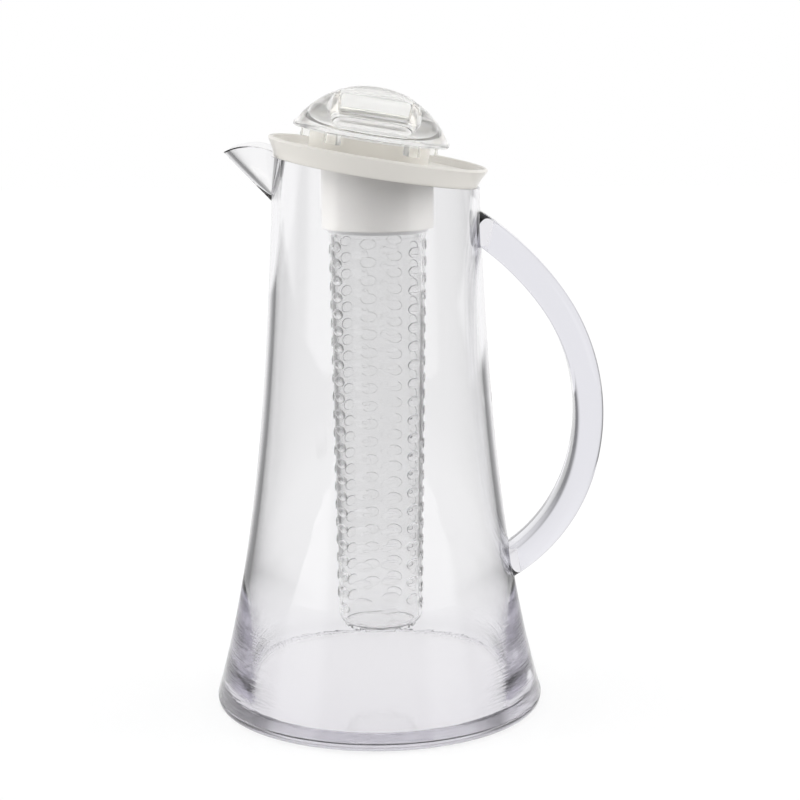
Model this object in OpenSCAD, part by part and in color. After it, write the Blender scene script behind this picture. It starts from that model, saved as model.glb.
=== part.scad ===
// Pitcher with an ice core: a clear flared jug, and a slanted lid that carries a clear dimpled ice tube.
// Origin: centre of the base's underside. +Z is up, +X points to the handle, -X to the spout. Millimetres.

/* [Jug] */
// Outer radius at the foot, where the wall meets the base disc
foot_r = 78; // [72:0.5:84]
// Outer radius that the flared wall would settle to, far above the mouth
throat_r = 43.5; // [40:0.5:47]
// Height over which the wall's flare falls to about a third
flare_run = 119.5; // [100:0.5:140]
// Height of the mouth at the jug's axis
mouth_z = 253.6; // [240:0.2:270]
// Slope of the mouth and lid, down towards the handle, in degrees
mouth_tilt = 9.3; // [5:0.1:12]
// Wall thickness of the upper jug
wall_t = 3.3; // [2.6:0.1:4]
// Extra wall thickness at the foot, where the bore runs nearly upright
foot_build = 9.1; // [4:0.1:11]
// Height at which the wall starts to thicken towards the foot
build_z = 60; // [40:1:80]

/* [Base disc] */
// Thickness of the base disc at its edge
disc_h = 4.2; // [3:0.1:6]
// Radius of the base's rounded lower edge
disc_round = 2.6; // [1:0.1:2.9]
// Height of the step that centres the disc in the bore
step_h = 1; // [0.4:0.1:3]
// Radial gap between that step and the bore
step_gap = 0.3; // [0.1:0.05:0.6]

/* [Spout] */
// Distance from the jug's axis to the spout's tip
spout_reach = 70; // [64:0.5:76]
// Height of the tip above the mouth's centre
spout_rise = 9.1; // [6:0.1:12]
// Height of the keel, from the tip down to the wall
keel_h = 22.7; // [18:0.1:28]
// Wall thickness of the spout
spout_t = 2.6; // [2:0.1:3.2]
// Lean of the spout's cone from upright, in degrees
spout_lean = 12; // [6:0.5:18]
// Radius of the arch along the spout's upper edges
arch_r = 23; // [20:0.5:30]
// Distance from the tip to the top of that arch
arch_run = 12.5; // [9:0.5:16]

/* [Handle] */
// Distance from the jug's axis to the outermost point of the handle
handle_reach = 106.4; // [98:0.2:116]
// Height of that point
handle_z = 138.8; // [130:0.2:148]
// Radial thickness of the bar
bar_t = 13.5; // [11:0.5:15]
// Width of the bar from side to side
bar_w = 20; // [15:0.5:26]
// Corner radius on the bar's outer side
bar_outer_round = 5.5; // [2:0.5:6.5]
// Corner radius on the bar's finger side
bar_inner_round = 2.5; // [1:0.5:5]
// Radius of the bow's middle stretch, at the bar's centre line
bow_r = 96; // [88:1:104]
// Radius of the upper stretch
bow_top_r = 136; // [124:1:148]
// Radius of the lower stretch
bow_low_r = 79.5; // [74:0.5:86]
// Length of the short stubs on the jug that the handle is bonded to
stub_len = 3.3; // [2:0.1:5]
// Height of the joint at the upper stub
joint_top_z = 222; // [216:1:226]
// Height of the joint at the lower stub
joint_low_z = 71.5; // [66:0.5:80]

/* [Lid] */
// Height of the lid's flared rim above the mouth
lid_h = 9.2; // [8:0.1:12]
// Outer radius of the rim's lip
lid_lip_r = 52; // [50.5:0.1:55]
// Outer radius of the rim's skirt at the mouth
skirt_r = 47.6; // [47.2:0.1:48]
// Wall thickness of the lid
lid_t = 2.2; // [1.8:0.1:2.6]
// Height of the jug's upstanding lip, which the skirt covers
seat_h = 3; // [1.5:0.1:3.6]
// Outer radius of that upstanding lip
seat_r = 45.7; // [45.4:0.05:46]
// Gap between that lip and the lid, at the side and above
seat_gap = 0.3; // [0.2:0.05:0.6]

/* [Filling neck] */
// Distance of the neck's axis from the lid's centre, towards the spout
neck_shift = 4.5; // [2:0.1:6]
// Outer radius of the neck
neck_r = 28; // [27:0.1:29]
// Wall thickness of the neck
neck_t = 2.4; // [1.8:0.1:2.6]
// Height of the neck's rim above the mouth
neck_h = 14.3; // [12:0.1:16]
// Radius of the opening through the lid
hole_r = 21; // [18:0.1:21.5]

/* [Knob] */
// Radius of the knob's disc
knob_disc_r = 36.4; // [34:0.1:40]
// Thickness of the disc
knob_disc_t = 2.4; // [2:0.1:4]
// Radius of the domed grip where it meets the disc
dome_base_r = 35.5; // [33:0.1:38]
// Radius of the sphere that the dome is part of
dome_r = 41; // [39.5:0.5:50]
// Width of the two finger scoops
scoop_w = 39; // [30:0.5:44]
// Radius of the scoops' hollow
scoop_r = 10.7; // [8:0.1:12]
// Rounding at the two ends of a scoop
scoop_round = 4.5; // [2:0.5:8]
// Thickness of the grip at its thinnest, between the scoops
grip_t = 10; // [6:0.5:14]
// Thickness of the rim that the scoops leave above the disc
scoop_floor = 0.6; // [0.4:0.1:2]
// Depth of the plug ring that enters the neck
plug_h = 5; // [3:0.1:7]
// Radial gap between the plug ring and the neck's bore
plug_gap = 0.6; // [0.3:0.1:1]
// Number of locking lugs round the neck
lug_count = 5; // [3:1:6]
// Outer radius of the lugs
lug_r = 33; // [31:0.1:34]
// Width of a lug
lug_w = 7; // [4:0.5:9]
// Height of a lug
lug_h = 4.8; // [3:0.1:6]
// Radial gap between the lugs and the neck
lug_gap = 0.5; // [0.3:0.1:0.9]

/* [Core socket] */
// Distance of the socket's upright axis from the jug's axis, towards the handle
socket_x = 0.8; // [0:0.1:2]
// Height of the socket's lower edge
socket_z = 227.9; // [222:0.1:234]
// Outer radius of the socket
socket_r = 26; // [25:0.1:28]
// Wall thickness of the socket
socket_t = 2.4; // [1.8:0.1:2.6]
// Radius of the opening in the socket's lower edge
socket_hole_r = 21.6; // [21.5:0.05:22]
// Height of the inward lip round that opening
socket_lip_h = 2.4; // [1.6:0.1:4]

/* [Ice core] */
// Radius of the core at its shoulder, under the socket
core_top_r = 22.4; // [22.2:0.1:23]
// Radius of the core at its foot
core_low_r = 19.8; // [18:0.1:21]
// Height of the core's underside
core_z = 36; // [30:1:60]
// Wall thickness of the core
core_t = 1.9; // [1.4:0.1:2.4]
// Radius of the core's rounded foot
core_round = 5; // [3:0.1:7]
// Height of the core's neck above its shoulder
core_neck_h = 12; // [8:0.5:13]
// Radial gap between the core's neck and the socket's opening
core_gap = 0.4; // [0.2:0.05:0.6]
// Upright columns of bumps, alternately of a wide and a close set
bump_cols = 10; // [6:2:10]
// Bumps in each column of the wide set
wide_count = 20; // [10:1:20]
// Height between them
wide_pitch = 8.7; // [7.8:0.1:8.8]
// Distance of the top one below the shoulder
wide_drop = 8.5; // [6:0.1:10]
// Bumps in each column of the close set
close_count = 23; // [10:1:23]
// Height between them
close_pitch = 7.85; // [7:0.05:7.9]
// Distance of the top one below the shoulder
close_drop = 6; // [5.5:0.1:7]
// Radius of the sphere that a bump is part of
bump_r = 3.6; // [3:0.1:4.2]
// Height that a bump stands out of the wall
bump_out = 1.2; // [0.6:0.1:1.4]
// Number of notches round the foot's ring
notch_count = 12; // [6:1:16]
// Width of a notch
notch_w = 3; // [2:0.1:4]
// Depth of a notch and height of the foot's ring
notch_h = 1.2; // [0.8:0.1:2]

/* [Seals] */
// Thickness of the seal between the neck and the knob
knob_seal_t = 1; // [0.8:0.1:1.6]
// Thickness of the seal between the socket and the core
core_seal_t = 1.8; // [1.2:0.1:2.4]
// Outer radius of the core's seal
core_seal_r = 23.3; // [23.2:0.1:25]
// Gap left at a seal's faces, so that what turns runs free
seal_gap = 0.05; // [0.02:0.01:0.1]

/* [Hidden] */
$fn = 96;
// Overrun that every cut takes past the face it cuts
over = 1;
// Points along the wall's curve
wall_steps = 26;
// Exponent of the wall's build-up towards the foot
build_power = 1.5;
// Exponent of the lid rim's flare
flare_power = 1.4;
// Points along that flare
flare_steps = 8;
// Edge rounding of the lid's lip, as steps of a quarter turn
lip_steps = 4;
// Angles at which the bow's middle stretch ends, from level: those of sides 3, 4, 5 and 7, 24, 25
bow_top_a = asin(3 / 5);
bow_low_a = -asin(7 / 25);
// Angles at which the outer stretches end inside the wall, in degrees
bow_root_top_a = 62;
bow_root_low_a = -68;
// Lean of the faces that the handle is bonded by, in degrees
joint_top_lean = 13;
joint_low_lean = -9.5;
// Angle of the first lug, from the side that faces -Y, in degrees
lug_a = -33;
// Angle of the first column of bumps, from +X, in degrees
bump_a = -4;
// Segments in a rounded corner of the handle's bar and the knob's scoops
corner_steps = 4;

// Wall of the jug: outer radius and bore radius at a height
function wall_r(z) = throat_r + (foot_r - throat_r) * exp(-(z - disc_h) / flare_run);
function wall_build(z) = z < build_z ? foot_build * pow((build_z - z) / (build_z - disc_h), build_power) : 0;
function bore_r(z) = wall_r(z) - wall_t - wall_build(z);

// Heights that the revolved wall runs between, past the slanted mouth
rim_top_z = mouth_z + wall_r(mouth_z) * tan(mouth_tilt) + seat_h + over;
function step_z(i) = disc_h + (rim_top_z - disc_h) * i / wall_steps;

// Lid: outer radius at a height above the mouth, and heights of the plate
function rim_r(t) = skirt_r + (lid_lip_r - skirt_r) * pow(t / lid_h, flare_power);
plate_low = seat_h + seat_gap;
plate_top = plate_low + lid_t;
lip_round = lid_t / 2;
// Radius within which nothing of the jug stands above the mouth, apart from its lip
lid_space_r = lid_lip_r - (lid_lip_r - skirt_r) / 2 - seat_gap;

// Spout: where its keel leaves the wall, the keel's angle from upright, and its cone
tip_z = mouth_z + spout_rise;
keel_z = tip_z - keel_h;
keel_x = wall_r(keel_z);
keel_a = atan((spout_reach - keel_x) / keel_h);
cone_a = keel_a - spout_lean;
spout_root = wall_t;
cone_h = keel_h * 2;

// Handle: distance of the middle stretch's centre from the jug's axis
bow_x = handle_reach - bar_t / 2 - bow_r;

// Points round a quarter turn, for a rounded corner
function corner(x, y, r, from) =
    [for (i = [0 : corner_steps]) let (a = from + 90 * i / corner_steps) [x + r * cos(a), y + r * sin(a)]];

// Knob: heights above the mouth
knob_low = neck_h + knob_seal_t + 2 * seal_gap;
knob_mid = knob_low + knob_disc_t / 2;
dome_low = knob_low + knob_disc_t;
dome_drop = sqrt(dome_r * dome_r - dome_base_r * dome_base_r);

// Ice core: heights of its shoulder and neck, and radius of its wall at a height
shoulder_z = socket_z - core_seal_t - 2 * seal_gap;
core_neck_z = shoulder_z + core_neck_h + core_seal_t;
neck_out_r = socket_hole_r - core_gap;
neck_in_r = neck_out_r - core_t;
function core_r(z) = core_low_r + (core_top_r - core_low_r) * (z - core_z) / (shoulder_z - core_z);
bump_depth = bump_r - bump_out;

// Frame of the lid: origin where the jug's axis meets the mouth, z square to the mouth
module at_mouth() {
    translate([0, 0, mouth_z])
        rotate([0, mouth_tilt, 0]) children();
}

module at_neck() {
    at_mouth() translate([-neck_shift, 0, 0]) children();
}

module at_socket() {
    translate([socket_x, 0, 0]) children();
}

// All of the space on the jug's side of the two faces that the handle is bonded by
module jug_side() {
    reach = 2 * bar_w;
    for (end = [[joint_top_z, joint_top_lean], [joint_low_z, joint_low_lean]])
        translate([wall_r(end[0]) + stub_len, 0, end[0]])
            rotate([0, end[1], 0])
                translate([-foot_r, -bar_w, -reach])
                    cube([foot_r, 2 * bar_w, 2 * reach]);
}

// Section of the handle's bar: x is outwards, y is from side to side
module bar_section() {
    in_x = bar_inner_round - bar_t / 2;
    in_y = bar_w / 2 - bar_inner_round;
    out_x = bar_t / 2 - bar_outer_round;
    out_y = bar_w / 2 - bar_outer_round;
    polygon(concat(
        corner(out_x, out_y, bar_outer_round, 0),
        corner(in_x, in_y, bar_inner_round, 90),
        corner(in_x, -in_y, bar_inner_round, 180),
        corner(out_x, -out_y, bar_outer_round, 270)));
}

// Half of the space round the bow's centre: angles from the given one to half a turn on
module half_turn(from) {
    reach = bow_r + bow_top_r;
    rotate([0, 0, from])
        translate([-reach, 0, -bar_w])
            cube([2 * reach, reach, 2 * bar_w]);
}

// A full ring of the bar, whose centre lies at a shift from the bow's centre along an angle
module ring(r, shift, along) {
    rotate([0, 0, along])
        translate([shift, 0, 0])
            rotate_extrude() translate([r, 0]) bar_section();
}

// The handle's bow: a middle stretch, and an outer stretch at each end that runs on from it
module bow() {
    translate([bow_x, 0, handle_z])
        rotate([90, 0, 0]) {
            difference() {
                ring(bow_r, 0, 0);
                half_turn(bow_top_a);
                half_turn(bow_low_a + 180);
            }
            difference() {
                ring(bow_top_r, bow_r - bow_top_r, bow_top_a);
                half_turn(bow_top_a + 180);
                half_turn(bow_root_top_a);
            }
            difference() {
                ring(bow_low_r, bow_r - bow_low_r, bow_low_a);
                half_turn(bow_low_a);
                half_turn(bow_root_low_a + 180);
            }
        }
}

// Cone of the spout, with its point in the wall. A skin moves its surface inwards.
module spout_cone(skin) {
    translate([-keel_x + spout_root * sin(keel_a), 0, keel_z - spout_root * cos(keel_a)])
        rotate([0, -spout_lean, 0])
            translate([0, 0, skin / sin(cone_a)])
                cylinder(r1 = 0, r2 = cone_h * tan(cone_a), h = cone_h);
}

module spout_solid() {
    intersection() {
        spout_cone(0);
        translate([arch_run - spout_reach, 0, tip_z - sqrt(arch_r * arch_r - arch_run * arch_run)])
            rotate([90, 0, 0]) cylinder(r = arch_r, h = 4 * arch_r, center = true);
    }
}

module jug_wall() {
    outer = [for (i = [0 : wall_steps]) [wall_r(step_z(i)), step_z(i)]];
    inner = [for (i = [wall_steps : -1 : 0]) [bore_r(step_z(i)), step_z(i)]];
    rotate_extrude() polygon(concat(outer, inner));
}

// The jug's bore, with an overrun below and above
module jug_bore() {
    inner = [for (i = [0 : wall_steps]) [bore_r(step_z(i)), step_z(i)]];
    foot = [[0, disc_h - over], [bore_r(disc_h), disc_h - over]];
    top = [[bore_r(rim_top_z), rim_top_z + arch_r], [0, rim_top_z + arch_r]];
    rotate_extrude() polygon(concat(foot, inner, top));
}

// The space above the slanted mouth, all but the jug's upstanding lip
module lid_space() {
    difference() {
        at_mouth() cylinder(r = lid_space_r, h = 2 * lid_lip_r);
        intersection() {
            translate([0, 0, keel_z]) cylinder(r = seat_r, h = 2 * keel_h);
            at_mouth() translate([0, 0, -over]) cylinder(r = lid_lip_r, h = seat_h + over);
        }
    }
}

module jug_body() {
    color("lavender", 0.4)
        difference() {
            union() {
                jug_wall();
                spout_solid();
                intersection() {
                    bow();
                    jug_side();
                }
            }
            jug_bore();
            spout_cone(spout_t);
            lid_space();
        }
}

module base_disc() {
    round_a = 90 / lip_steps;
    edge = [for (i = [0 : lip_steps])
        [foot_r - disc_round + disc_round * sin(i * round_a), disc_round - disc_round * cos(i * round_a)]];
    step_r = bore_r(disc_h) - step_gap;
    top = [[foot_r, disc_h], [step_r, disc_h], [step_r, disc_h + step_h], [0, disc_h + step_h]];
    color("thistle", 0.4) rotate_extrude() polygon(concat([[0, 0]], edge, top));
}

module handle() {
    color("lavender", 0.5)
        difference() {
            bow();
            jug_side();
        }
}

module lid_plate() {
    outer = [for (i = [0 : flare_steps]) let (t = (lid_h - lip_round) * i / flare_steps) [rim_r(t), t]];
    lip_x = rim_r(lid_h - lip_round) - lip_round;
    lip = [for (i = [1 : 2 * lip_steps]) let (a = 90 * i / lip_steps)
        [lip_x + lip_round * cos(a), lid_h - lip_round + lip_round * sin(a)]];
    inner = [for (i = [flare_steps - 1 : -1 : 0])
        let (t = plate_top + (lid_h - lip_round - plate_top) * i / flare_steps)
        [rim_r(t) - lid_t, t]];
    rotate_extrude() polygon(concat([[0, 0]], outer, lip, inner, [[0, plate_top]]));
}

module lid() {
    color("ivory")
        difference() {
            union() {
                at_mouth() lid_plate();
                at_neck() translate([0, 0, plate_low]) cylinder(r = neck_r, h = neck_h - plate_low);
            }
            at_neck() translate([0, 0, plate_top]) cylinder(r = neck_r - neck_t, h = neck_h);
            at_socket() translate([0, 0, socket_z]) cylinder(r = hole_r, h = 2 * lid_lip_r);
            intersection() {
                translate([0, 0, socket_z]) cylinder(r = seat_r + seat_gap, h = 2 * lid_lip_r);
                at_mouth() translate([0, 0, -lid_h]) cylinder(r = 2 * lid_lip_r, h = lid_h + plate_low);
            }
        }
}

module core_socket() {
    color("floralwhite")
        at_socket()
            difference() {
                translate([0, 0, socket_z]) cylinder(r = socket_r, h = 2 * socket_r);
                translate([0, 0, socket_z - over]) cylinder(r = socket_hole_r, h = 2 * socket_r + 2 * over);
                translate([0, 0, socket_z + socket_lip_h])
                    cylinder(r = socket_r - socket_t, h = 2 * socket_r + over);
                translate([-socket_x, 0, 0])
                    at_mouth() translate([0, 0, plate_low]) cylinder(r = 2 * lid_lip_r, h = 2 * lid_lip_r);
            }
}

// A finger scoop: a round hollow with rounded ends in the side of the dome that faces -Y, open to the front
module scoop() {
    end = scoop_w / 2 - scoop_round;
    side = scoop_r - scoop_round;
    translate([0, -grip_t / 2 - scoop_r, dome_low + scoop_floor + scoop_r]) {
        rotate([0, 90, 0])
            rotate_extrude()
                polygon(concat([[0, -scoop_w / 2]],
                    corner(side, -end, scoop_round, 270), corner(side, end, scoop_round, 0), [[0, scoop_w / 2]]));
        rotate([90, 0, 0])
            linear_extrude(height = dome_r)
                polygon(concat(corner(-end, -side, scoop_round, 180), corner(end, -side, scoop_round, 270),
                    [[scoop_w / 2, dome_r], [-scoop_w / 2, dome_r]]));
    }
}

module knob() {
    color("aliceblue", 0.5)
        at_neck()
            difference() {
                union() {
                    translate([0, 0, knob_low]) cylinder(r = knob_disc_r, h = knob_disc_t);
                    intersection() {
                        translate([0, 0, dome_low - dome_drop]) sphere(r = dome_r);
                        translate([0, 0, knob_mid]) cylinder(r = dome_base_r, h = dome_r);
                    }
                    translate([0, 0, knob_low - plug_h])
                        cylinder(r = neck_r - neck_t - plug_gap, h = plug_h + knob_disc_t / 2);
                    for (i = [0 : lug_count - 1])
                        rotate([0, 0, lug_a + i * 360 / lug_count - 90])
                            lug();
                }
                translate([0, 0, knob_low - plug_h - over])
                    cylinder(r = neck_r - 2 * neck_t - plug_gap, h = plug_h + over);
                for (side = [0, 180])
                    rotate([0, 0, side]) scoop();
            }
}

// One locking lug, which hangs from the disc outside the neck
module lug() {
    in_r = neck_r + lug_gap;
    translate([in_r, -lug_w / 2, knob_low - lug_h])
        cube([lug_r - in_r, lug_w, lug_h + knob_disc_t / 2]);
}

module knob_seal() {
    color("white")
        at_neck()
            translate([0, 0, neck_h + seal_gap])
                difference() {
                    cylinder(r = neck_r - seal_gap, h = knob_seal_t);
                    translate([0, 0, -over]) cylinder(r = neck_r - neck_t, h = knob_seal_t + 2 * over);
                }
}

// Outside of the core, from its axis at the foot to its neck
module core_outside() {
    foot = [for (i = [0 : 2 * lip_steps]) let (a = 90 * i / (2 * lip_steps))
        [core_r(core_z + core_round) - core_round + core_round * sin(a), core_z + core_round - core_round * cos(a)]];
    top = [[core_top_r, shoulder_z], [neck_out_r, shoulder_z], [neck_out_r, core_neck_z], [0, core_neck_z]];
    rotate_extrude() polygon(concat([[0, core_z]], foot, top));
}

// Space inside the core, open at its neck
module core_inside() {
    low_z = core_z + core_t;
    in_round = core_round - core_t;
    foot = [for (i = [0 : lip_steps]) let (a = 90 * i / lip_steps)
        [core_r(core_z + core_round) - core_t - in_round + in_round * sin(a), low_z + in_round - in_round * cos(a)]];
    top = [[core_top_r - core_t, shoulder_z - core_t], [neck_in_r, shoulder_z - core_t],
        [neck_in_r, core_neck_z + over], [0, core_neck_z + over]];
    rotate_extrude() polygon(concat([[0, low_z]], foot, top));
}

module bumps() {
    sets = [[close_count, close_pitch, close_drop], [wide_count, wide_pitch, wide_drop]];
    for (col = [0 : bump_cols - 1]) {
        set = sets[col % 2];
        rotate([0, 0, bump_a + col * 360 / bump_cols])
            for (row = [0 : set[0] - 1]) {
                z = shoulder_z - set[2] - row * set[1];
                translate([core_r(z) - bump_depth, 0, z]) sphere(r = bump_r, $fn = 32);
            }
    }
}

module foot_ring() {
    ring_r = core_low_r - core_round / 2;
    difference() {
        translate([0, 0, core_z - notch_h]) cylinder(r = ring_r, h = notch_h + core_t / 2);
        translate([0, 0, core_z - notch_h - over]) cylinder(r = ring_r - core_t, h = notch_h + core_t + over);
        for (i = [0 : notch_count - 1])
            rotate([0, 0, i * 360 / notch_count])
                translate([ring_r - 2 * core_t, -notch_w / 2, core_z - notch_h - over])
                    cube([3 * core_t, notch_w, notch_h + over]);
    }
}

module ice_core() {
    color("white", 0.6)
        at_socket()
            difference() {
                union() {
                    core_outside();
                    bumps();
                    foot_ring();
                }
                core_inside();
            }
}

module core_seal() {
    color("white")
        at_socket()
            translate([0, 0, shoulder_z + seal_gap])
                difference() {
                    cylinder(r = core_seal_r, h = core_seal_t);
                    translate([0, 0, -over]) cylinder(r = neck_out_r + seal_gap, h = core_seal_t + 2 * over);
                }
}

jug_body();
base_disc();
handle();
lid();
core_socket();
knob();
knob_seal();
ice_core();
core_seal();
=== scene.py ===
"""A clear flared pitcher with a slanted white lid, a domed filling knob and a dimpled ice tube, on a white table.

Sizes are in millimetres and turned to metres as each piece is made. +Z is up, +X points to the handle.
"""

import math

import bpy
import numpy as np
from mathutils import Matrix, Vector


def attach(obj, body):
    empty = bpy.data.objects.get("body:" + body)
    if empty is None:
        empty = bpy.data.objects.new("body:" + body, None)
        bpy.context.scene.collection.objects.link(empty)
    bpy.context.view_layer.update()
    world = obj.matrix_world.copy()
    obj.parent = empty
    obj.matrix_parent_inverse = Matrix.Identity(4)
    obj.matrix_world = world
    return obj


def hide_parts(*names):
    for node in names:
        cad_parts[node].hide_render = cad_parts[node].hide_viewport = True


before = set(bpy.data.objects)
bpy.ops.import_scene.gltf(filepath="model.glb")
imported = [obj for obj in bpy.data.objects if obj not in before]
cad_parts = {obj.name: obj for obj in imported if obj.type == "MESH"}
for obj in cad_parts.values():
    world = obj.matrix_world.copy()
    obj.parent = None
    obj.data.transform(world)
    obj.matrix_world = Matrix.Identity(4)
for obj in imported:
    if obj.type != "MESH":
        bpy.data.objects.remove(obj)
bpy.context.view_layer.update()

# Jug body
# The real piece is one clear acrylic shell, injection moulded and polished. Its wall flares to the foot and is
# thickest there. The spout is moulded on, and the handle is bonded to two short stubs.
MM = 0.001
SAME_POINT = 0.001 * MM
THROUGH = 100.0
FOOT_R = 78.0
THROAT_R = 43.5
FLARE_RUN = 119.5
SEAM_Z = 4.2
WALL = 3.3
FOOT_BUILD = 9.1
BUILD_Z = 60.0
MOUTH_Z = 253.6
TILT = math.radians(9.3)
WALL_TOP = 270.0
BORE_TOP = 290.0
BUILD_POWER = 1.5
TURN = 240
WALL_STEPS = 112
BORE_STEPS = 120


def wall_r(z):
    return THROAT_R + (FOOT_R - THROAT_R) * np.exp(-(z - SEAM_Z) / FLARE_RUN)


def wall_slope(z):
    return -(FOOT_R - THROAT_R) / FLARE_RUN * np.exp(-(z - SEAM_Z) / FLARE_RUN)


def foot_share(z):
    """How far down the thick foot a height lies: 0 where the foot begins, 1 at the seam."""
    return np.maximum(BUILD_Z - z, 0) / (BUILD_Z - SEAM_Z)


def bore_r(z):
    return wall_r(z) - WALL - FOOT_BUILD * foot_share(z) ** BUILD_POWER


def bore_slope(z):
    build_slope = FOOT_BUILD * BUILD_POWER * foot_share(z) ** (BUILD_POWER - 1) / (BUILD_Z - SEAM_Z)
    return wall_slope(z) + build_slope


def pick_none():
    """Nothing selected and no edit mode, ready for the next primitive."""
    if bpy.context.object and bpy.context.object.mode == "EDIT":
        bpy.ops.object.mode_set(mode="OBJECT")
    bpy.ops.object.select_all(action="DESELECT")


def newest(name):
    piece = bpy.context.object
    piece.name = name
    piece.data.name = name
    return piece


def turned(name, outline, steps):
    """A solid of revolution about Z: the outline is drawn by extruding one point, then spun. (r, z) in mm."""
    pick_none()
    first, *rest = [Vector((r * MM, 0, z * MM)) for r, z in outline]
    bpy.ops.mesh.primitive_plane_add(size=MM, location=first)
    piece = newest(name)
    bpy.ops.object.mode_set(mode="EDIT")
    bpy.ops.mesh.select_all(action="SELECT")
    bpy.ops.mesh.merge(type="CENTER")
    here = first
    for point in rest:
        bpy.ops.mesh.extrude_region_move(TRANSFORM_OT_translate={"value": point - here})
        here = point
    bpy.ops.mesh.select_all(action="SELECT")
    bpy.ops.mesh.spin(steps=steps, angle=2 * math.pi, center=(0, 0, 0), axis=(0, 0, 1))
    bpy.ops.mesh.select_all(action="SELECT")
    bpy.ops.mesh.remove_doubles(threshold=SAME_POINT)
    bpy.ops.mesh.normals_make_consistent(inside=False)
    bpy.ops.object.mode_set(mode="OBJECT")
    settle(piece)
    return piece


def settle(piece):
    """The piece's place goes into its mesh, and its object to the origin."""
    pick_none()
    piece.select_set(True)
    bpy.context.view_layer.objects.active = piece
    bpy.ops.object.transform_apply(location=True, rotation=True, scale=True)


def joined(piece, tool, how):
    """Adds, cuts or keeps what the tool covers, and clears the tool away."""
    pick_none()
    bpy.context.view_layer.objects.active = piece
    change = piece.modifiers.new("join", "BOOLEAN")
    change.operation = how
    change.solver = "MANIFOLD"
    change.object = tool
    bpy.ops.object.modifier_apply(modifier=change.name)
    bpy.data.objects.remove(tool)
    return piece


def to_mouth(piece):
    """From a frame whose Z is square to the slanted mouth into the jug's own."""
    settle(piece)
    piece.matrix_world = Matrix.Translation((0, 0, MOUTH_Z * MM)) @ Matrix.Rotation(TILT, 4, "Y")
    settle(piece)
    return piece


def polished(piece, angle=30):
    """Smooth shading, apart from edges sharper than the angle, in degrees."""
    pick_none()
    piece.select_set(True)
    bpy.context.view_layer.objects.active = piece
    bpy.ops.object.shade_smooth_by_angle(angle=math.radians(angle))


NO_LENGTH = 1e-6  # a shorter vector has no direction
ALIKE = 0.8  # least cosine between a face and the form that it lies on


def true_normals(piece, forms, tolerance=0.05):
    """Shades each face by the true form that it lies on, so that what is seen through the wall doesn't break up.

    A form takes points in mm and gives their distance from it and its outward normals there. A face lies on the form
    that all its points are nearest to, within the tolerance in mm. Other faces are shaded smooth up to their sharp
    edges.
    """
    polished(piece)
    mesh = piece.data
    points = np.zeros(len(mesh.vertices) * 3)
    mesh.vertices.foreach_get("co", points)
    points = points.reshape(-1, 3) / MM
    corners = np.zeros(len(mesh.loops), int)
    mesh.loops.foreach_get("vertex_index", corners)
    starts = np.zeros(len(mesh.polygons), int)
    mesh.polygons.foreach_get("loop_start", starts)
    counts = np.zeros(len(mesh.polygons), int)
    mesh.polygons.foreach_get("loop_total", counts)
    flat = np.zeros(len(mesh.polygons) * 3)
    mesh.polygons.foreach_get("normal", flat)
    face_normals = np.repeat(flat.reshape(-1, 3), counts, axis=0)
    normals = np.zeros((len(corners), 3))
    best = np.full(len(starts), tolerance)
    for form in forms:
        away, out = form(points)
        worst = np.maximum.reduceat(np.abs(away)[corners], starts)
        out = out[corners]
        size = np.linalg.norm(out, axis=1)[:, None]
        out = np.where(size < NO_LENGTH, face_normals, out / np.maximum(size, NO_LENGTH))
        facing = np.add.reduceat((out * face_normals).sum(1), starts) / counts
        nearer = (worst < best) & (facing > ALIKE)
        best[nearer] = worst[nearer]
        mine = np.repeat(nearer, counts)
        normals[mine] = out[mine]
    mesh.normals_split_custom_set(normals.tolist())


def around(radius, slope, sign):
    """A form of revolution about Z with a radius and a slope at each height."""
    def form(p):
        r = np.hypot(p[:, 0], p[:, 1])
        side = p[:, :2] / np.maximum(r, NO_LENGTH)[:, None]
        out = np.column_stack([side, -slope(p[:, 2])]) * sign
        return r - radius(p[:, 2]), out
    return form


def plane(point, normal):
    def form(p):
        n = np.array(normal)
        return (p - np.array(point)) @ n, np.tile(n, (len(p), 1))
    return form


AT_AXIS = 0.01  # nearer than this to its axis a pipe has no normal


def pipe(point, axis, radius, sign, taper=0.0):
    """A cylinder, or a cone with its point at the given point, about any axis. The point itself has no normal."""
    def form(p):
        a = np.array(axis) / np.linalg.norm(axis)
        rel = p - np.array(point)
        along = rel @ a
        off = rel - along[:, None] * a
        r = np.linalg.norm(off, axis=1)
        out = off / np.maximum(r, NO_LENGTH)[:, None] * math.cos(taper) - math.sin(taper) * a
        out[r < AT_AXIS] = 0
        return (r - radius) * math.cos(taper) - along * math.sin(taper), out * sign
    return form


outside = [(wall_r(z), z) for z in np.linspace(SEAM_Z, WALL_TOP, WALL_STEPS)]
jug = turned("jug_glass", [(0, SEAM_Z)] + outside + [(0, WALL_TOP)], TURN)

# the spout's cone leans towards -X, and its point lies in the wall
TIP = Vector((-70.0, 0, 262.7))
KEEL_Z = 240.0
SPOUT_LEAN = math.radians(12)
keel_x = wall_r(KEEL_Z)
keel_a = math.atan2(-TIP.x - keel_x, TIP.z - KEEL_Z)
cone_a = keel_a - SPOUT_LEAN
cone_axis = Vector((-math.sin(SPOUT_LEAN), 0, math.cos(SPOUT_LEAN)))
cone_point = Vector((-keel_x + WALL * math.sin(keel_a), 0, KEEL_Z - WALL * math.cos(keel_a)))
CONE_H = 46.0
SPOUT_WALL = 2.6
SPOUT_STEPS = 192
ARCH_R = 23.0
ARCH_X = -57.5
ARCH_STEPS = 256
arch_z = TIP.z - math.sqrt(ARCH_R**2 - (ARCH_X - TIP.x) ** 2)


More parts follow.
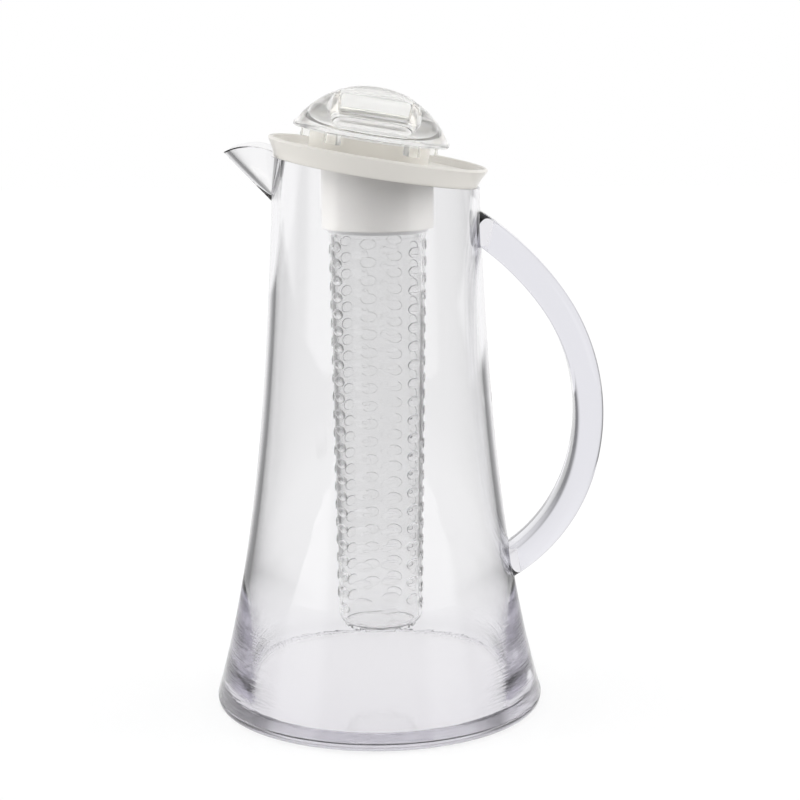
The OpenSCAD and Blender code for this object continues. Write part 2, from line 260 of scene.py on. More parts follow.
def spout_cone(name, point):
    pick_none()
    bpy.ops.mesh.primitive_cone_add(
        vertices=SPOUT_STEPS,
        radius1=0,
        radius2=CONE_H * math.tan(cone_a) * MM,
        depth=CONE_H * MM,
        location=(point + cone_axis * CONE_H / 2) * MM,
        rotation=(0, -SPOUT_LEAN, 0),
    )
    piece = newest(name)
    settle(piece)
    return piece


spout = spout_cone("spout", cone_point)
pick_none()
bpy.ops.mesh.primitive_cylinder_add(
    vertices=ARCH_STEPS,
    radius=ARCH_R * MM,
    depth=THROUGH * MM,
    location=(ARCH_X * MM, 0, arch_z * MM),
    rotation=(math.pi / 2, 0, 0),
)
arch = newest("arch")
settle(arch)
joined(spout, arch, "INTERSECT")
joined(jug, spout, "UNION")

# the bow's centre line is three arcs in the plane y = 0, each with its centre on the last one's end radius
BAR_T = 13.5
BAR_W = 20.0
BAR_OUT_ROUND = 5.5
BAR_IN_ROUND = 2.5
BOW_R = 96.0
BOW_TOP_R = 136.0
BOW_LOW_R = 79.5
BOW_C = Vector((106.4 - BAR_T / 2 - BOW_R, 0, 138.8))
BOW_TOP_A = math.asin(0.6)
BOW_LOW_A = -math.asin(0.28)
BOW_TOP_END = math.radians(62)
BOW_LOW_END = math.radians(-68)
STUB = 3.3
# height and lean of each bonded joint, top and low
JOINTS = ((222.0, math.radians(13)), (71.5, math.radians(-9.5)))
SIDE_BOX = 80.0
CORNER_STEPS = 8


def on_arc(centre, r, a):
    return centre + Vector((math.cos(a), 0, math.sin(a))) * r


def bow_bar(name):
    """The whole bow: a rounded bar section spun along the lower, middle and upper arcs."""
    low_c = on_arc(BOW_C, BOW_R - BOW_LOW_R, BOW_LOW_A)
    top_c = on_arc(BOW_C, BOW_R - BOW_TOP_R, BOW_TOP_A)
    start = on_arc(low_c, BOW_LOW_R, BOW_LOW_END)
    pick_none()
    bpy.ops.mesh.primitive_plane_add(size=1)
    piece = newest(name)
    bpy.ops.object.mode_set(mode="EDIT")
    bpy.ops.mesh.select_all(action="SELECT")
    bpy.ops.transform.resize(value=(BAR_T * MM, BAR_W * MM, 1))
    for side, rounding in ((1, BAR_OUT_ROUND), (-1, BAR_IN_ROUND)):
        bpy.ops.mesh.select_all(action="DESELECT")
        bpy.ops.object.mode_set(mode="OBJECT")
        for v in piece.data.vertices:
            v.select = v.co.x * side > 0
        bpy.ops.object.mode_set(mode="EDIT")
        bpy.ops.mesh.bevel(offset=rounding * MM, segments=CORNER_STEPS, affect="VERTICES")
    bpy.ops.object.mode_set(mode="OBJECT")
    piece.matrix_world = Matrix.Translation(start * MM) @ Matrix.Rotation(-BOW_LOW_END, 4, "Y")
    settle(piece)
    bpy.ops.object.mode_set(mode="EDIT")
    bpy.ops.mesh.select_all(action="SELECT")
    stretches = (
        # centre, angle and steps
        (low_c, BOW_LOW_A - BOW_LOW_END, 40),
        (BOW_C, BOW_TOP_A - BOW_LOW_A, 56),
        (top_c, BOW_TOP_END - BOW_TOP_A, 40),
    )
    for centre, angle, steps in stretches:
        bpy.ops.mesh.spin(steps=steps, angle=angle, center=centre * MM, axis=(0, 1, 0))
    bpy.ops.mesh.select_all(action="SELECT")
    bpy.ops.mesh.remove_doubles(threshold=SAME_POINT)
    bpy.ops.mesh.normals_make_consistent(inside=False)
    bpy.ops.object.mode_set(mode="OBJECT")
    settle(piece)
    return piece


def jug_side(name, joint, gap=0.0):
    """A box that covers all of the jug's side of a bonded joint."""
    z, lean = joint
    pick_none()
    bpy.ops.mesh.primitive_cube_add(size=SIDE_BOX * MM, location=(-SIDE_BOX / 2 * MM, 0, 0))
    piece = newest(name)
    settle(piece)
    x = wall_r(z) + STUB + gap
    piece.matrix_world = Matrix.Translation((x * MM, 0, z * MM)) @ Matrix.Rotation(lean, 4, "Y")
    settle(piece)
    return piece


for joint in JOINTS:
    joined(jug, joined(bow_bar("stub"), jug_side("side", joint), "INTERSECT"), "UNION")

OVERRUN = 1.0
bore_low = SEAM_Z - OVERRUN
inside = [(bore_r(max(z, SEAM_Z)), z) for z in np.linspace(bore_low, BORE_TOP, BORE_STEPS)]
joined(jug, turned("bore", [(0, bore_low)] + inside + [(0, BORE_TOP)], TURN), "DIFFERENCE")
inner_point = cone_point + cone_axis * (SPOUT_WALL / math.sin(cone_a))
joined(jug, spout_cone("channel", inner_point), "DIFFERENCE")

# what the lid takes: all above the slanted mouth but a low upright lip
LIP_R = 45.7
LIP_H = 3.0
LIP_TOOL_H = 60.0
UNDER_R = 70.0
LID_ROOM_R = 49.5
pick_none()
bpy.ops.mesh.primitive_cylinder_add(
    vertices=TURN, radius=LID_ROOM_R * MM, depth=THROUGH * MM, location=(0, 0, THROUGH / 2 * MM)
)
room = to_mouth(newest("lid_room"))
pick_none()
bpy.ops.mesh.primitive_cylinder_add(
    vertices=TURN, radius=LIP_R * MM, depth=LIP_TOOL_H * MM, location=(0, 0, MOUTH_Z * MM)
)
lip = newest("lip")
settle(lip)
pick_none()
bpy.ops.mesh.primitive_cylinder_add(
    vertices=64, radius=UNDER_R * MM, depth=THROUGH * MM, location=(0, 0, (LIP_H - THROUGH / 2) * MM)
)
under = to_mouth(newest("under_lip_top"))
joined(lip, under, "INTERSECT")
joined(room, lip, "DIFFERENCE")
joined(jug, room, "DIFFERENCE")

up = np.array([math.sin(TILT), 0, math.cos(TILT)])
mouth = np.array([0, 0, MOUTH_Z])
true_normals(
    jug,
    [
        around(wall_r, wall_slope, 1),
        around(bore_r, bore_slope, -1),
        pipe(cone_point, cone_axis, 0, 1, cone_a),
        pipe(inner_point, cone_axis, 0, -1, cone_a),
        pipe((ARCH_X, 0, arch_z), (0, 1, 0), ARCH_R, 1),
        pipe(mouth, up, LID_ROOM_R, -1),
        pipe((0, 0, 0), (0, 0, 1), LIP_R, 1),
    ],
)


def linear(code):
    """An sRGB hex colour, as the shaders want it."""
    parts = [int(code[i : i + 2], 16) / 255 for i in (1, 3, 5)]
    return [c / 12.92 if c <= 0.04045 else ((c + 0.055) / 1.055) ** 2.4 for c in parts] + [1.0]


def add(tree, kind, settings=None, links=None):
    """Adds a node: values for its settings or inputs, and what feeds its inputs."""
    n = tree.nodes.new("ShaderNode" + kind)
    for key, value in (settings or {}).items():
        if isinstance(key, str) and hasattr(n, key):
            setattr(n, key, value)
        else:
            n.inputs[key].default_value = value
    for key, source in (links or {}).items():
        tree.links.new(source, n.inputs[key])
    return n


def maths(tree, operation, *values):
    """A sum on numbers or sockets, in the order of the node's inputs."""
    n = add(tree, "Math", {"operation": operation})
    for place, value in enumerate(values):
        if isinstance(value, (int, float)):
            n.inputs[place].default_value = value
        else:
            tree.links.new(value, n.inputs[place])
    return n.outputs[0]


def material(name):
    m = bpy.data.materials.new(name)
    m.use_nodes = True
    m.node_tree.nodes.clear()
    return m, m.node_tree


WAVE = 25.0
MARKS = 6.25
CLEAN = 0.4  # roughness between the marks, as a share of that in them


def clear_acrylic(name, tint, depth_tint, depth_density, waviness, haze, rough=0.03, bend=1.49):
    """Polished acrylic: clear, hard and glossy. Thick stretches take a faint violet cast, moulding leaves a long,
    shallow waviness about 25 mm across, and fine scratches and wiping marks scatter a small share of the light."""
    m, tree = material(name)
    place = add(tree, "TexCoord").outputs["Object"]
    waves = add(tree, "TexNoise", {"Scale": 1 / (WAVE * MM), "Detail": 1.0}, {"Vector": place})
    marks = add(tree, "TexNoise", {"Scale": 1 / (MARKS * MM), "Detail": 4.0, "Roughness": 0.6}, {"Vector": place})
    dull = add(tree, "MapRange", {"To Min": rough * CLEAN, "To Max": rough}, {"Value": marks.outputs["Fac"]})
    bump = add(tree, "Bump", {"Strength": waviness, "Distance": MM}, {"Height": waves.outputs["Fac"]})
    shader = add(
        tree,
        "BsdfPrincipled",
        {"Base Color": linear(tint), "IOR": bend, "Transmission Weight": 1 - haze},
        {"Roughness": dull.outputs["Result"], "Normal": bump.outputs["Normal"]},
    )
    depth = add(tree, "VolumeAbsorption", {"Color": linear(depth_tint), "Density": depth_density})
    add(tree, "OutputMaterial", {}, {"Surface": shader.outputs["BSDF"], "Volume": depth.outputs["Volume"]})
    return m


jug_acrylic = clear_acrylic(
    "moulded_clear_acrylic", "#FDFDFD", "#B4AEC6", depth_density=12.0, waviness=0.02, haze=0.0
)
# The thick foot shrinks as it cools, which leaves fine streaks round it, about 1 mm apart and 20 mm long, and a softer
# gloss. The streaks show where the wall is seen at a slant.
STREAK_L = 20.0
STREAK_H = 1.0
STREAK_LEAST = 0.05
STREAK_SLANT = 0.5
SLANT_POWER = 3.0
WALL_ROUGH = 0.015
FOOT_ROUGH = 0.035
FOOT_FULL_Z = 20.0
tree = jug_acrylic.node_tree
shader = tree.nodes["Principled BSDF"]
place = add(tree, "TexCoord").outputs["Object"]
height = add(tree, "SeparateXYZ", {}, {"Vector": place}).outputs["Z"]
low = add(tree, "MapRange", {"From Min": BUILD_Z * MM, "From Max": FOOT_FULL_Z * MM}, {"Value": height})
per_streak = (1 / (STREAK_L * MM), 1 / (STREAK_L * MM), 1 / (STREAK_H * MM))
stretched = add(tree, "VectorMath", {"operation": "MULTIPLY", 1: per_streak}, {0: place})
rings = add(tree, "TexNoise", {"Scale": 1.0, "Detail": 2.0}, {"Vector": stretched.outputs["Vector"]})
slant = add(tree, "LayerWeight").outputs["Facing"]
grazing = maths(tree, "POWER", slant, SLANT_POWER)
streaks = maths(tree, "MULTIPLY_ADD", grazing, STREAK_SLANT, STREAK_LEAST)
ring_depth = maths(tree, "MULTIPLY", low.outputs["Result"], streaks)
ring_bump = add(
    tree,
    "Bump",
    {"Distance": MM},
    {
        "Height": rings.outputs["Fac"],
        "Strength": ring_depth,
        "Normal": shader.inputs["Normal"].links[0].from_socket,
    },
)
tree.links.new(ring_bump.outputs["Normal"], shader.inputs["Normal"])
foot_rough = maths(tree, "MULTIPLY_ADD", low.outputs["Result"], FOOT_ROUGH - WALL_ROUGH, WALL_ROUGH)
tree.links.new(foot_rough, shader.inputs["Roughness"])
jug.data.materials.clear()
jug.data.materials.append(jug_acrylic)
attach(jug, "jug")
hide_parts("jug_body")

# Base disc
# A thick clear disc closes the foot. It is moulded in the same acrylic, steps into the bore to centre itself, and is
# welded round its edge, so a hair line shows there.
EDGE_ROUND = 2.6
STEP_PLAY = 0.3
STEP_R = bore_r(SEAM_Z) - STEP_PLAY
FLOOR_Z = 5.2
WELD_GAP = 0.08
SEAM_BEVEL = 0.5


def arc(r, z, radius, start, end, steps):
    """Points on an arc in (r, z), from one angle to another in degrees."""
    return [
        (r + radius * math.cos(a), z + radius * math.sin(a))
        for a in np.linspace(math.radians(start), math.radians(end), steps + 1)
    ]


edge = arc(FOOT_R - EDGE_ROUND, EDGE_ROUND, EDGE_ROUND, -90, 0, 11)
top = SEAM_Z - WELD_GAP
step = [(FOOT_R, top - SEAM_BEVEL), (FOOT_R - SEAM_BEVEL, top), (STEP_R, top), (STEP_R, FLOOR_Z), (0, FLOOR_Z)]
base = turned("base_glass", [(0, 0)] + edge + step, 3 * TURN)
polished(base)
base_acrylic = clear_acrylic(
    "base_clear_acrylic", "#F3F2F4", "#D2CEDF", depth_density=3.0, waviness=0.01, haze=0.04
)
base.data.materials.append(base_acrylic)
FUSED_BEND = 1.003
FLAT = 0.99
ON_PLANE = 0.2


def fuse(piece, point, out):
    """Marks a piece's faces on a welded or bonded joint: those on the plane through a point in mm, facing out.

    No air is left there, so light goes almost straight through these faces.
    """
    mesh = piece.data
    marks = mesh.attributes.get("fused")
    if marks is None:
        marks = mesh.attributes.new("fused", "FLOAT", "FACE")
        tree = mesh.materials[0].node_tree
        bend = tree.nodes["Principled BSDF"].inputs["IOR"]
        weld = add(tree, "Attribute", {"attribute_name": "fused"}).outputs["Fac"]
        index = add(tree, "MapRange", {"To Min": bend.default_value, "To Max": FUSED_BEND}, {"Value": weld})
        tree.links.new(index.outputs["Result"], bend)
    for face in mesh.polygons:
        if face.normal.dot(out) > FLAT and abs((face.center / MM - point).dot(out)) < ON_PLANE:
            marks.data[face.index].value = 1.0


for piece, side in ((jug, -1), (base, 1)):
    fuse(piece, Vector((0, 0, SEAM_Z)), Vector((0, 0, side)))
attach(base, "jug")
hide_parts("base_disc")

# Handle
# One solid acrylic bar of rounded rectangular section, bent to a bow and flame polished. Each end is cut flat and
# bonded to a stub on the jug.
handle = bow_bar("handle_bar")
BOND = 0.06
for joint in JOINTS:
    joined(handle, jug_side("side", joint, BOND), "DIFFERENCE")
polished(handle)
handle.data.materials.clear()
bar_acrylic = clear_acrylic(
    "polished_acrylic_bar", "#EFEFF2", "#D0CAEE", depth_density=5.0, waviness=0.03, haze=0.0
)
handle.data.materials.append(bar_acrylic)
for z, lean in JOINTS:
    out = Vector((math.cos(lean), 0, -math.sin(lean)))
    fuse(jug, Vector((wall_r(z) + STUB, 0, z)), out)
    fuse(handle, Vector((wall_r(z) + STUB, 0, z)), -out)
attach(handle, "jug")
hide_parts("handle")

# Lid, socket and seals
# The lid and its core socket are moulded in the same white plastic with a satin gloss, but the socket's colour is
# painted lighter, as painted light for the light it catches inside the jug; the two seals are soft white silicone.
GRAIN = 0.625
GRAIN_DEPTH = 0.1
GRAIN_STRENGTH = 0.05
FLOW = 40.0
FLOW_SHADE = 0.03
FLOW_ROUGH = 0.04


def white_plastic(name, colour, rough):
    """Moulded white ABS: an even satin skin with a very fine grain, about 0.6 mm across, and slight flow shade."""
    m, tree = material(name)
    place = add(tree, "TexCoord").outputs["Object"]
    grain = add(tree, "TexNoise", {"Scale": 1 / (GRAIN * MM), "Detail": 2.0}, {"Vector": place})
    flow = add(tree, "TexNoise", {"Scale": 1 / (FLOW * MM), "Detail": 2.0}, {"Vector": place})
    bounds = {"To Min": 1 - FLOW_SHADE, "To Max": 1 + FLOW_SHADE}
    shade = add(tree, "MapRange", bounds, {"Value": flow.outputs["Fac"]})
    tint = add(tree, "VectorMath", {"operation": "SCALE", 0: linear(colour)[:3]}, {"Scale": shade.outputs["Result"]})
    bounds = {"To Min": rough - FLOW_ROUGH, "To Max": rough + FLOW_ROUGH}
    sheen = add(tree, "MapRange", bounds, {"Value": flow.outputs["Fac"]})
    depth = {"Strength": GRAIN_STRENGTH, "Distance": GRAIN_DEPTH * MM}
    bump = add(tree, "Bump", depth, {"Height": grain.outputs["Fac"]})
    shader = add(
        tree,
        "BsdfPrincipled",
        {"IOR": 1.5},
        {"Base Color": tint.outputs["Vector"], "Roughness": sheen.outputs["Result"], "Normal": bump.outputs["Normal"]},
    )
    add(tree, "OutputMaterial", {}, {"Surface": shader.outputs["BSDF"]})
    return m


for cad_name, finish in (
    ("lid", white_plastic("white_abs", "#DAD7D1", 0.3)),
    # painted light: the socket's colour is lighter than the lid's, though both are the same white plastic, to stand in
    # for the light it catches inside the clear jug
    ("core_socket", white_plastic("white_abs_socket_painted_lighter", "#F6F4F0", 0.35)),
    ("knob_seal", white_plastic("white_silicone", "#E8E8E8", 0.5)),
    ("core_seal", white_plastic("white_silicone_core", "#E8E8E8", 0.5)),
):
    cad_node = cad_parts[cad_name]
    cad_node.data.materials.clear()
    cad_node.data.materials.append(finish)

# Knob
# A solid clear acrylic cover, moulded in one: a thin disc, a dome with a finger scoop at the front and one at the back,
# a ring that plugs the neck and five lugs round the outside of the neck. It is polished all over.
NECK_SHIFT = -4.5
DISC_R = 36.4
DISC_LOW = 15.4
DISC_TOP = 17.8
DISC_ROUND = 0.6
DOME_R = 41.0
DOME_FOOT_R = 35.5
PLUG_R = 25.0
PLUG_IN_R = 22.6
PLUG_LOW = 10.4
SCOOP_W = 39.0
SCOOP_R = 10.7
SCOOP_ROUND = 4.5
SCOOP_Y = 5.0 + SCOOP_R
SCOOP_FLOOR = 0.6
KNOB_TURN = 192
SCOOP_TURN = 160
ROUND_STEPS = 12
hollow_z = DISC_TOP + SCOOP_FLOOR + SCOOP_R
dome_z = DISC_TOP - math.sqrt(DOME_R**2 - DOME_FOOT_R**2)
foot_a = math.asin(DOME_FOOT_R / DOME_R)


def ball(centre, radius):
    def form(p):
        out = p - np.array(centre)
        return np.linalg.norm(out, axis=1) - radius, out
    return form


dome = arc(0, dome_z, DOME_R, 90, 90 - math.degrees(foot_a), 36)
dome[0] = (0, dome_z + DOME_R)
disc_edge = arc(DISC_R - DISC_ROUND, DISC_TOP - DISC_ROUND, DISC_ROUND, 90, 0, 4) + arc(
    DISC_R - DISC_ROUND, DISC_LOW + DISC_ROUND, DISC_ROUND, 0, -90, 4
)
plug = [(PLUG_R, DISC_LOW), (PLUG_R, PLUG_LOW), (PLUG_IN_R, PLUG_LOW), (PLUG_IN_R, DISC_LOW), (0, DISC_LOW)]
knob = turned("knob_glass", dome + disc_edge + plug, KNOB_TURN)

drum_side = SCOOP_R - SCOOP_ROUND
drum_end = SCOOP_W / 2 - SCOOP_ROUND
drum = (
    [(0, -SCOOP_W / 2)]
    + arc(drum_side, -drum_end, SCOOP_ROUND, -90, 0, ROUND_STEPS)
    + arc(drum_side, drum_end, SCOOP_ROUND, 0, 90, ROUND_STEPS)
    + [(0, SCOOP_W / 2)]
)
LUG_R = (28.5, 33.0)
LUG_W = 7.0
LUG_H = 4.8
LUG_A = -123.0
LUG_COUNT = 5
LUG_BEVEL = 0.5
OPEN = 50.0
OVERLAP = 0.01
for side in (-1, 1):
    hollow = turned("scoop", drum, SCOOP_TURN)
    at = Matrix.Translation((0, side * SCOOP_Y * MM, hollow_z * MM))
    hollow.matrix_world = at @ Matrix.Rotation(math.pi / 2, 4, "Y")
    settle(hollow)
    joined(knob, hollow, "DIFFERENCE")
    # the way out of the hollow, to the front or the back, with the same rounded floor corners
    pick_none()
    bpy.ops.mesh.primitive_cube_add(size=1)
    way_out = newest("way_out")
    way_out.scale = (SCOOP_W * MM, OPEN * MM, OPEN * MM)
    way_out.location = (
        0,
        side * (SCOOP_Y + OPEN / 2 - OVERLAP) * MM,
        (DISC_TOP + SCOOP_FLOOR + OPEN / 2) * MM,
    )
    settle(way_out)
    for side_edge in way_out.data.edges:
        ends = [way_out.data.vertices[i].co for i in side_edge.vertices]
        at_floor = all(v.z < hollow_z * MM for v in ends)
        side_edge.select = at_floor and abs(ends[0].x - ends[1].x) < MM
    bpy.ops.object.mode_set(mode="EDIT")
    bpy.ops.mesh.select_mode(type="EDGE")
    bpy.ops.mesh.bevel(offset=SCOOP_ROUND * MM, segments=ROUND_STEPS, affect="EDGES")
    bpy.ops.mesh.select_mode(type="VERT")
    bpy.ops.object.mode_set(mode="OBJECT")
    joined(knob, way_out, "DIFFERENCE")
for i in range(LUG_COUNT):
    pick_none()
    bpy.ops.mesh.primitive_cube_add(size=1)
    lug = newest("lug")
    lug.scale = ((LUG_R[1] - LUG_R[0]) * MM, LUG_W * MM, (LUG_H + OVERRUN) * MM)
    lug.location = (sum(LUG_R) / 2 * MM, 0, (DISC_LOW + (OVERRUN - LUG_H) / 2) * MM)
    settle(lug)
    bpy.ops.object.mode_set(mode="EDIT")
    bpy.ops.mesh.select_all(action="SELECT")
    bpy.ops.mesh.bevel(offset=LUG_BEVEL * MM, segments=3, affect="EDGES")
    bpy.ops.object.mode_set(mode="OBJECT")
    lug.matrix_world = Matrix.Rotation(math.radians(LUG_A + 360 / LUG_COUNT * i), 4, "Z")
    settle(lug)
    joined(knob, lug, "UNION")
true_normals(
    knob,
    [
        ball((0, 0, dome_z), DOME_R),
        pipe((0, -SCOOP_Y, hollow_z), (1, 0, 0), SCOOP_R, -1),
        pipe((0, SCOOP_Y, hollow_z), (1, 0, 0), SCOOP_R, -1),
        plane((0, 0, DISC_LOW), (0, 0, -1)),
        plane((0, 0, DISC_TOP + SCOOP_FLOOR), (0, 0, 1)),
        plane((0, 0, DISC_TOP), (0, 0, 1)),
        plane((-SCOOP_W / 2, 0, 0), (1, 0, 0)),
        plane((SCOOP_W / 2, 0, 0), (-1, 0, 0)),
        pipe((0, 0, 0), (0, 0, 1), PLUG_R, 1),
        pipe((0, 0, 0), (0, 0, 1), PLUG_IN_R, -1),
        pipe((0, 0, 0), (0, 0, 1), DISC_R, 1),
    ],
)
knob.matrix_world = Matrix.Translation((NECK_SHIFT * MM, 0, 0))
to_mouth(knob)
knob.data.materials.clear()
knob_acrylic = clear_acrylic(
    "knob_clear_acrylic", "#FDFDFB", "#E2E0EA", depth_density=4.0, waviness=0.01, haze=0.12
)
knob.data.materials.append(knob_acrylic)
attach(knob, "knob")
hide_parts("knob")

# Ice core
# A thin tube of clear styrene acrylonitrile, moulded on a core pin, with a closed rounded foot. Low oval bumps stand
# on it in ten columns, by turns of a close and a wide pitch, and its narrower neck is held in the socket.
CORE_X = 0.8
SHOULDER_Z = 226.0
SHOULDER_R = 22.4
CORE_FOOT_Z = 36.0
CORE_FOOT_R = 19.8
CORE_WALL = 1.9
CORE_ROUND = 5.0
NECK_R = 21.2
NECK_TOP = 239.8
NOTCH = 1.2
NOTCH_W = 3.0
NOTCH_COUNT = 12
CORE_TURN = 160
CORE_STEPS = 60
RING_TURN = 144
BUMP_W = 8.3
BUMP_H = 5.0
BUMP_OUT = 0.6
BUMP_SUNK = 0.2
COLUMNS = 5
BUMP_SETS = (
    # angle of the first of five columns, bumps in each, height between them, height of the top one
    (-4, 23, 7.85, 220.0),
    (32, 20, 8.7, 217.5),
)


def core_r(z):
    return CORE_FOOT_R + (SHOULDER_R - CORE_FOOT_R) * (z - CORE_FOOT_Z) / (SHOULDER_Z - CORE_FOOT_Z)


def core_bore_r(z):
    return core_r(z) - CORE_WALL


def core_slope(z):
    return np.full_like(z, (SHOULDER_R - CORE_FOOT_R) / (SHOULDER_Z - CORE_FOOT_Z))


round_z = CORE_FOOT_Z + CORE_ROUND
outside = (
    [(0, CORE_FOOT_Z)]
    + arc(core_r(round_z) - CORE_ROUND, round_z, CORE_ROUND, -90, 0, ROUND_STEPS)
    + [(core_r(z), z) for z in np.linspace(round_z, SHOULDER_Z, CORE_STEPS)[1:]]
    + [(NECK_R, SHOULDER_Z), (NECK_R, NECK_TOP), (0, NECK_TOP)]
)
core = turned("core_glass", outside, CORE_TURN)
in_round = CORE_ROUND - CORE_WALL
bore = (
    [(0, CORE_FOOT_Z + CORE_WALL)]
    + arc(core_r(round_z) - CORE_ROUND, round_z, in_round, -90, 0, 10)
    + [(core_bore_r(z), z) for z in np.linspace(round_z, SHOULDER_Z - CORE_WALL, CORE_STEPS)[1:]]
    + [(NECK_R - CORE_WALL, SHOULDER_Z - CORE_WALL), (NECK_R - CORE_WALL, NECK_TOP + OVERRUN), (0, NECK_TOP + OVERRUN)]
)
sink = math.sqrt(1 - (BUMP_SUNK / (BUMP_SUNK + BUMP_OUT)) ** 2)
for start, count, pitch, top_z in BUMP_SETS:
    pick_none()
    bpy.ops.mesh.primitive_uv_sphere_add(segments=28, ring_count=20, radius=1)
    bump = newest("bump")
    bump.scale = ((BUMP_SUNK + BUMP_OUT) * MM, BUMP_W / 2 / sink * MM, BUMP_H / 2 / sink * MM)
    bump.location = ((core_r(top_z) - BUMP_SUNK) * MM, 0, top_z * MM)
    settle(bump)
    column = bump.modifiers.new("column", "ARRAY")
    column.count = count
    column.use_relative_offset = False
    column.use_constant_offset = True
    column.constant_offset_displace = ((core_r(top_z - pitch) - core_r(top_z)) * MM, 0, -pitch * MM)
    bpy.ops.object.modifier_apply(modifier=column.name)
    bump.matrix_world = Matrix.Rotation(math.radians(start), 4, "Z")
    settle(bump)
    bpy.ops.object.mode_set(mode="EDIT")
    bpy.ops.mesh.select_all(action="SELECT")
    turns = COLUMNS - 1
    spread = math.radians(turns * 360 / COLUMNS)
    bpy.ops.mesh.spin(steps=turns, angle=spread, dupli=True, center=(0, 0, 0), axis=(0, 0, 1))
    bpy.ops.object.mode_set(mode="OBJECT")
    joined(core, bump, "UNION")
ring_r = CORE_FOOT_R - CORE_ROUND / 2
ring_in = ring_r - CORE_WALL
ring_low = CORE_FOOT_Z - NOTCH
ring_top = CORE_FOOT_Z + OVERRUN
section = [(ring_in, ring_low), (ring_r, ring_low), (ring_r, ring_top), (ring_in, ring_top), (ring_in, ring_low)]
ring = turned("foot_ring", section, RING_TURN)
for i in range(NOTCH_COUNT):
    pick_none()
    bpy.ops.mesh.primitive_cube_add(size=1)
    notch = newest("notch")
    notch.scale = (3 * CORE_WALL * MM, NOTCH_W * MM, (NOTCH + OVERRUN) * MM)
    notch.location = (ring_r * MM, 0, (CORE_FOOT_Z - (NOTCH + OVERRUN) / 2) * MM)
    settle(notch)
    notch.matrix_world = Matrix.Rotation(math.radians(360 / NOTCH_COUNT * i), 4, "Z")
    settle(notch)
    joined(ring, notch, "DIFFERENCE")
joined(core, ring, "UNION")
joined(core, turned("core_bore", bore, CORE_TURN), "DIFFERENCE")
true_normals(core, [around(core_r, core_slope, 1), around(core_bore_r, core_slope, -1)], tolerance=0.01)
core.matrix_world = Matrix.Translation((CORE_X * MM, 0, 0))
settle(core)
core.data.materials.clear()
core_styrene = clear_acrylic(
    "core_clear_styrene", "#FFFFFF", "#F0F0F4", depth_density=1.5, waviness=0.04, haze=0.06, bend=1.52
)
core.data.materials.append(core_styrene)
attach(core, "ice_core")
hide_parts("ice_core")

# Table and light
# A white sweep with soft light from all round. What is clear shows the white behind it, and between that and the
# softboxes the grey of the room, which draws its edges. Matt pieces, also those inside the jug, get an even soft fill.
TABLE_W = 6000.0
TABLE_GAP = 0.5
PAPER = 0.3
GLOW = 1.06
ROOM_GREY = 0.28
SOFTBOXES = (
    # direction, cosines of the angles between which it fades in, strength
    ((0.0, 1.0, 0.0), 0.66, 0.9, 1.0),
    ((-0.88, -0.48, 0.05), 0.9, 0.985, 1.3),
    ((0.8, -0.6, 0.1), 0.92, 0.985, 1.0),
    ((-0.85, 0.5, 0.1), 0.85, 0.96, 1.1),
    ((0.0, 0.15, 1.0), 0.45, 0.9, 1.0),
)
# where the floor is white and where it is grey, for what is seen through clear pieces: fades of direction, of
# distance from the object in metres, and of depth along a slant, which stands in for the horizon
BEHIND = (0.82, 0.97)
NEAR = (0.12, 0.35)
BEYOND = (1.2, 1.4)
BEYOND_SLANT = (0.32, 1, 0)
FILL_GREY = 0.27
INNER_FILL = 1.1
FILLS = (
    ((-1.0, 0.1, 0.1), 0.3, 1.0, 2.8),
    ((1.0, 0.1, 0.1), 0.3, 1.0, 2.7),
    ((0.0, 0.0, 1.0), 0.1, 1.0, 0.9),
)


def fade(tree, value, low, high, to_low, to_high):
    """Goes smoothly from one level to another as a value goes from low to high."""
    n = add(
        tree,
        "MapRange",
        {"interpolation_type": "SMOOTHSTEP", "From Min": low, "From Max": high, "To Min": to_low, "To Max": to_high},
        {"Value": value},
    )
    return n.outputs["Result"]


def toward(tree, look, direction):
    """The cosine between a look and a direction."""
    unit = Vector(direction).normalized()
    n = add(tree, "VectorMath", {"operation": "DOT_PRODUCT", 1: unit}, {0: look})
    return n.outputs["Value"]


pick_none()
bpy.ops.mesh.primitive_plane_add(size=TABLE_W * MM, location=(0, 0, -TABLE_GAP * MM))
table = newest("table")
m, tree = material("white_paper_sweep")
path = add(tree, "LightPath")
thrown = maths(tree, "MAXIMUM", path.outputs["Is Transmission Ray"], path.outputs["Is Glossy Ray"])
seen = maths(tree, "MAXIMUM", maths(tree, "MULTIPLY", path.outputs["Is Camera Ray"], 1 - PAPER), thrown)
place = add(tree, "TexCoord").outputs["Object"]
far = add(tree, "VectorMath", {"operation": "LENGTH"}, {0: place}).outputs["Value"]
way = add(tree, "VectorMath", {"operation": "NORMALIZE"}, {0: place}).outputs["Vector"]
behind = fade(tree, toward(tree, way, (0, 1, 0)), *BEHIND, 0.0, 1.0)
near = fade(tree, far, *NEAR, 1.0, 0.0)
depth = add(tree, "VectorMath", {"operation": "DOT_PRODUCT", 1: BEYOND_SLANT}, {0: place}).outputs["Value"]
beyond = fade(tree, depth, *BEYOND, 0.0, 1.0)
lit = maths(tree, "MAXIMUM", maths(tree, "MAXIMUM", behind, beyond), near)
lit = maths(tree, "MULTIPLY_ADD", lit, 1 - ROOM_GREY, ROOM_GREY)
dimmed = maths(tree, "MULTIPLY", thrown, maths(tree, "SUBTRACT", GLOW, lit))
paper = add(tree, "BsdfDiffuse", {"Color": linear("#F4F4F4")})
glow = add(tree, "Emission", {"Color": (1, 1, 1, 1)}, {"Strength": maths(tree, "SUBTRACT", GLOW, dimmed)})
mix = add(tree, "MixShader", {}, {0: seen, 1: paper.outputs[0], 2: glow.outputs[0]})
add(tree, "OutputMaterial", {}, {"Surface": mix.outputs[0]})
table.data.materials.append(m)

world = bpy.data.worlds.new("studio")
bpy.context.scene.world = world
world.use_nodes = True
tree = world.node_tree
tree.nodes.clear()
look = add(tree, "TexCoord").outputs["Generated"]


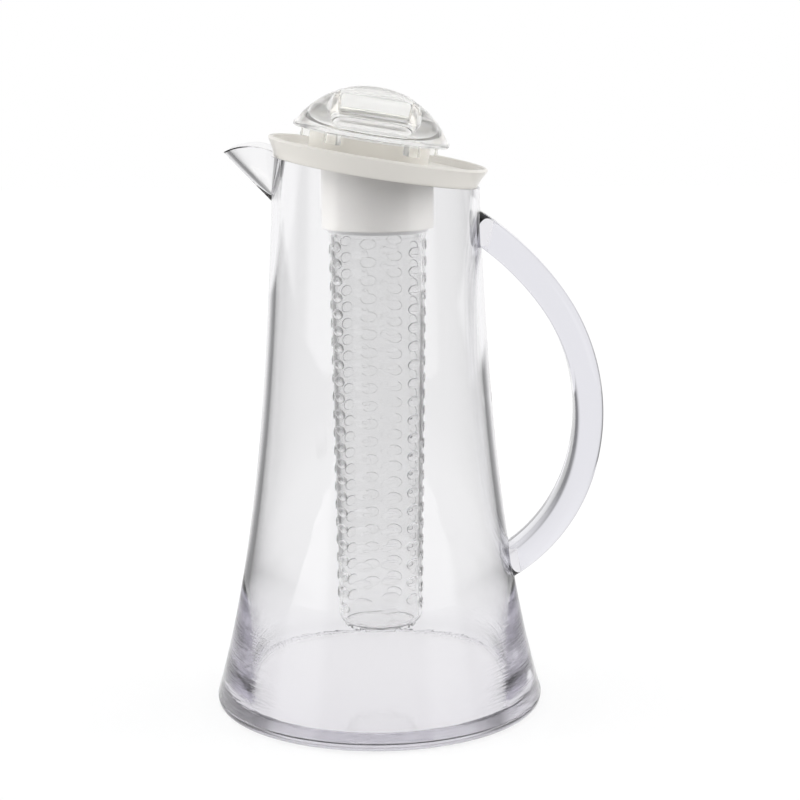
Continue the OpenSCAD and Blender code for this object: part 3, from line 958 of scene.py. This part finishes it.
def lights(grey, boxes):
    """The brightest of a grey and of each softbox, at the place looked at."""
    level = grey
    for direction, low, high, strength in boxes:
        level = maths(tree, "MAXIMUM", level, fade(tree, toward(tree, look, direction), low, high, 0.0, strength))
    return level


path = add(tree, "LightPath")
matt = maths(tree, "GREATER_THAN", path.outputs["Diffuse Depth"], 0.5)
shiny = add(tree, "Background", {"Color": (1, 1, 1, 1)}, {"Strength": lights(ROOM_GREY, SOFTBOXES)})
inner = maths(tree, "GREATER_THAN", path.outputs["Transmission Depth"], 0.5)
inner = maths(tree, "MULTIPLY_ADD", inner, INNER_FILL, 1.0)
soft = maths(tree, "MULTIPLY", lights(FILL_GREY, FILLS), inner)
fill = add(tree, "Background", {"Color": (1, 1, 1, 1)}, {"Strength": soft})
white = add(tree, "Background", {"Color": (1, 1, 1, 1), "Strength": 1.0})
mix = add(tree, "MixShader", {}, {0: matt, 1: shiny.outputs[0], 2: fill.outputs[0]})
mix = add(tree, "MixShader", {}, {0: path.outputs["Is Camera Ray"], 1: mix.outputs[0], 2: white.outputs[0]})
add(tree, "OutputWorld", {}, {"Surface": mix.outputs[0]})

# Camera
# It stands where the photograph was taken from: a little above the lid, looking down by about 11 degrees.
FOCAL_PX = 1953.3
PICTURE_PX = 800
SENSOR_MM = 36.0
LOOK_DOWN = math.radians(10.882)
ROLL = math.radians(-0.34)
CAMERA_AT = (0.0107, -0.906132, 0.32)
NEAREST = 10.0
BOUNCES = 48
GLOSSY_BOUNCES = 8
lens = bpy.data.cameras.new("camera")
lens.sensor_width = SENSOR_MM
lens.lens = FOCAL_PX / PICTURE_PX * SENSOR_MM
lens.clip_start = NEAREST * MM
camera = bpy.data.objects.new("camera", lens)
bpy.context.scene.collection.objects.link(camera)
camera.matrix_world = (
    Matrix.Translation(CAMERA_AT)
    @ Matrix.Rotation(math.pi / 2 - LOOK_DOWN, 4, "X")
    @ Matrix.Rotation(ROLL, 4, "Z")
)
bpy.context.scene.camera = camera

scene = bpy.context.scene
scene.view_settings.view_transform = "Standard"
# light that is caught between clear walls is followed a long way
scene.cycles.max_bounces = BOUNCES
scene.cycles.transmission_bounces = BOUNCES
scene.cycles.glossy_bounces = GLOSSY_BOUNCES
scene.cycles.transparent_max_bounces = 16
